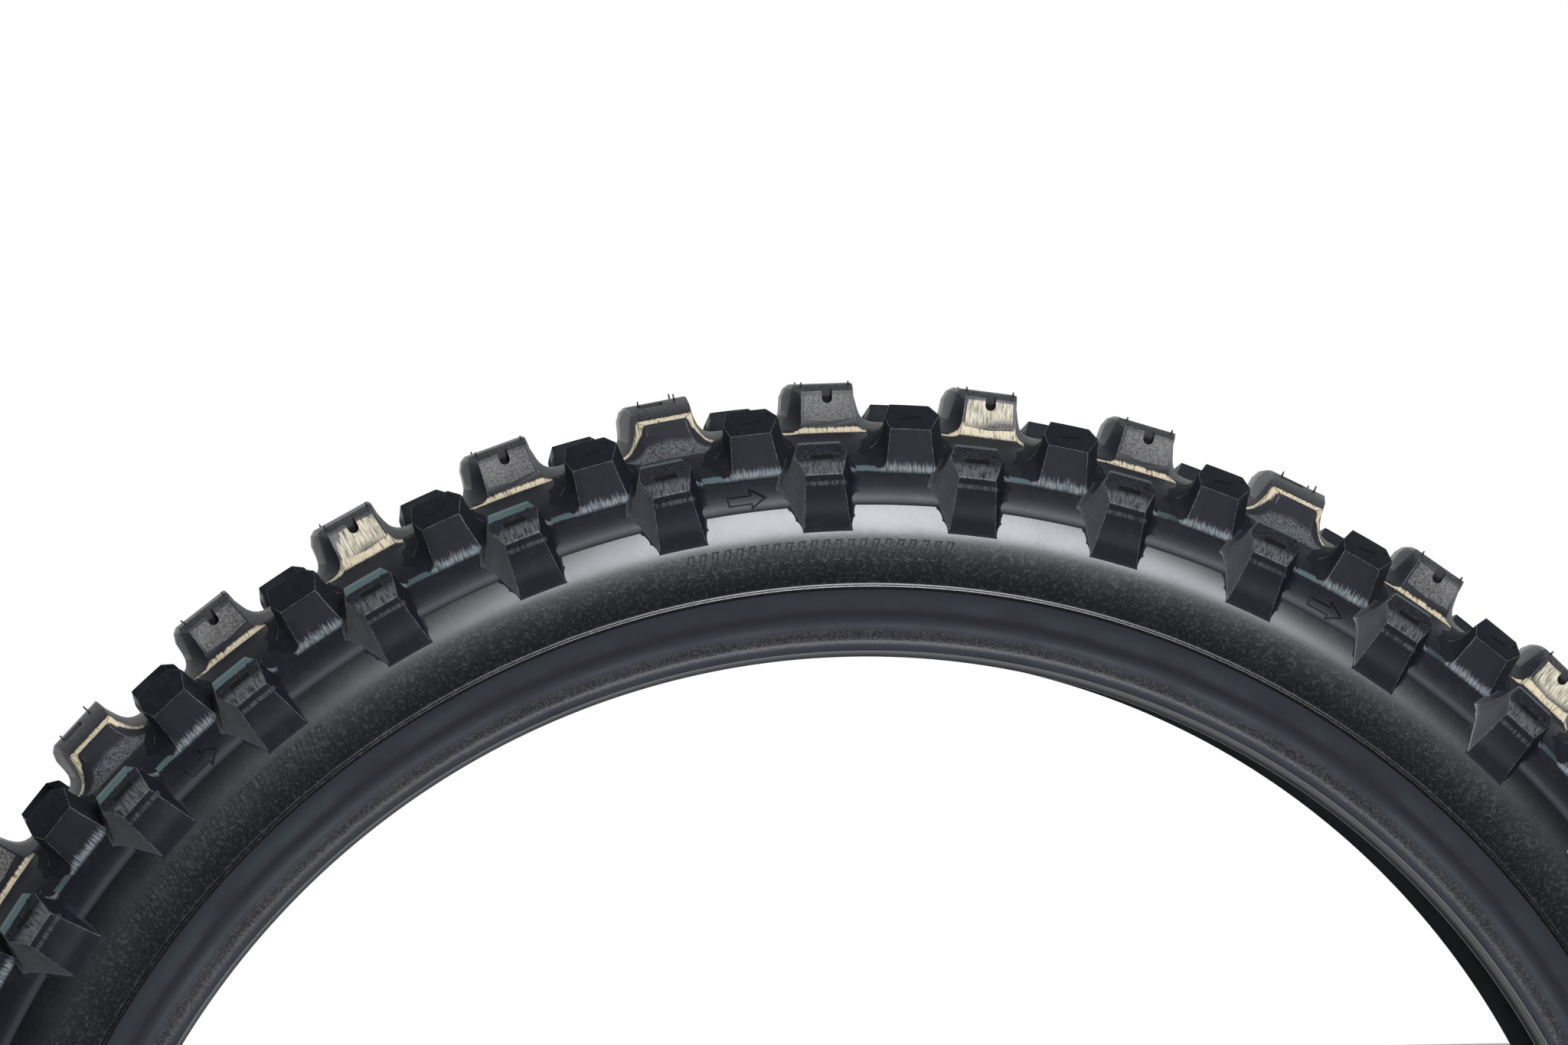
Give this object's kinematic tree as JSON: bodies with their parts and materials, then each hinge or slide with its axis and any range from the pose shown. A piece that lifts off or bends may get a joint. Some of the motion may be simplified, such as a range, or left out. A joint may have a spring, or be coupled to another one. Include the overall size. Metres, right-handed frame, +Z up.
{
  "type": "motorcycle tire",
  "caption": "Spoked-wheel off-road motorcycle front tyre: cross-ply casing with two wire beads, a knobbly tread in five rows and an open tube space.",
  "frame": {"origin": "centre of the wheel: on the tyre's axis, midway between its two beads", "axes": "+Y along the wheel's axis, towards the machine's left side; +Z up; seen from -Y the tyre rolls clockwise, so +X is forwards at the top"},
  "size_m": [0.713, 0.0834, 0.713],
  "materials": {
    "tread_rubber": "satin black knob rubber, scuffed on the centre knobs",
    "sidewall_rubber": "satin black, fine mottle from the mould",
    "bead_rubber": "smooth satin black",
    "inner_rubber": "matte black with a faint cord pattern",
    "gum_rubber": "matte dark gum",
    "ply_cord": "rubber-coated nylon cord",
    "bead_wire": "bronze-coated steel wire"
  },
  "bodies": {
    "root": {"inner_liner": "inner_rubber", "body_ply_inner": "ply_cord", "body_ply_outer": "ply_cord", "right_bead_core": "bead_wire", "left_bead_core": "bead_wire", "right_bead_filler": "gum_rubber", "left_bead_filler": "gum_rubber", "right_bead_wrap": "ply_cord", "left_bead_wrap": "ply_cord", "right_chafer": "bead_rubber", "left_chafer": "bead_rubber", "breaker_inner": "ply_cord", "breaker_outer": "ply_cord", "tread_cushion": "gum_rubber", "tread_crown": "tread_rubber", "right_tread_shoulder": "tread_rubber", "left_tread_shoulder": "tread_rubber", "right_sidewall": "sidewall_rubber", "left_sidewall": "sidewall_rubber", "centre_knobs_wide": "tread_rubber", "centre_knobs_medium": "tread_rubber", "centre_knobs_narrow": "tread_rubber", "right_intermediate_knobs": "tread_rubber", "left_intermediate_knobs": "tread_rubber", "right_side_knobs": "tread_rubber", "left_side_knobs": "tread_rubber"}
  },
  "joints": []
}
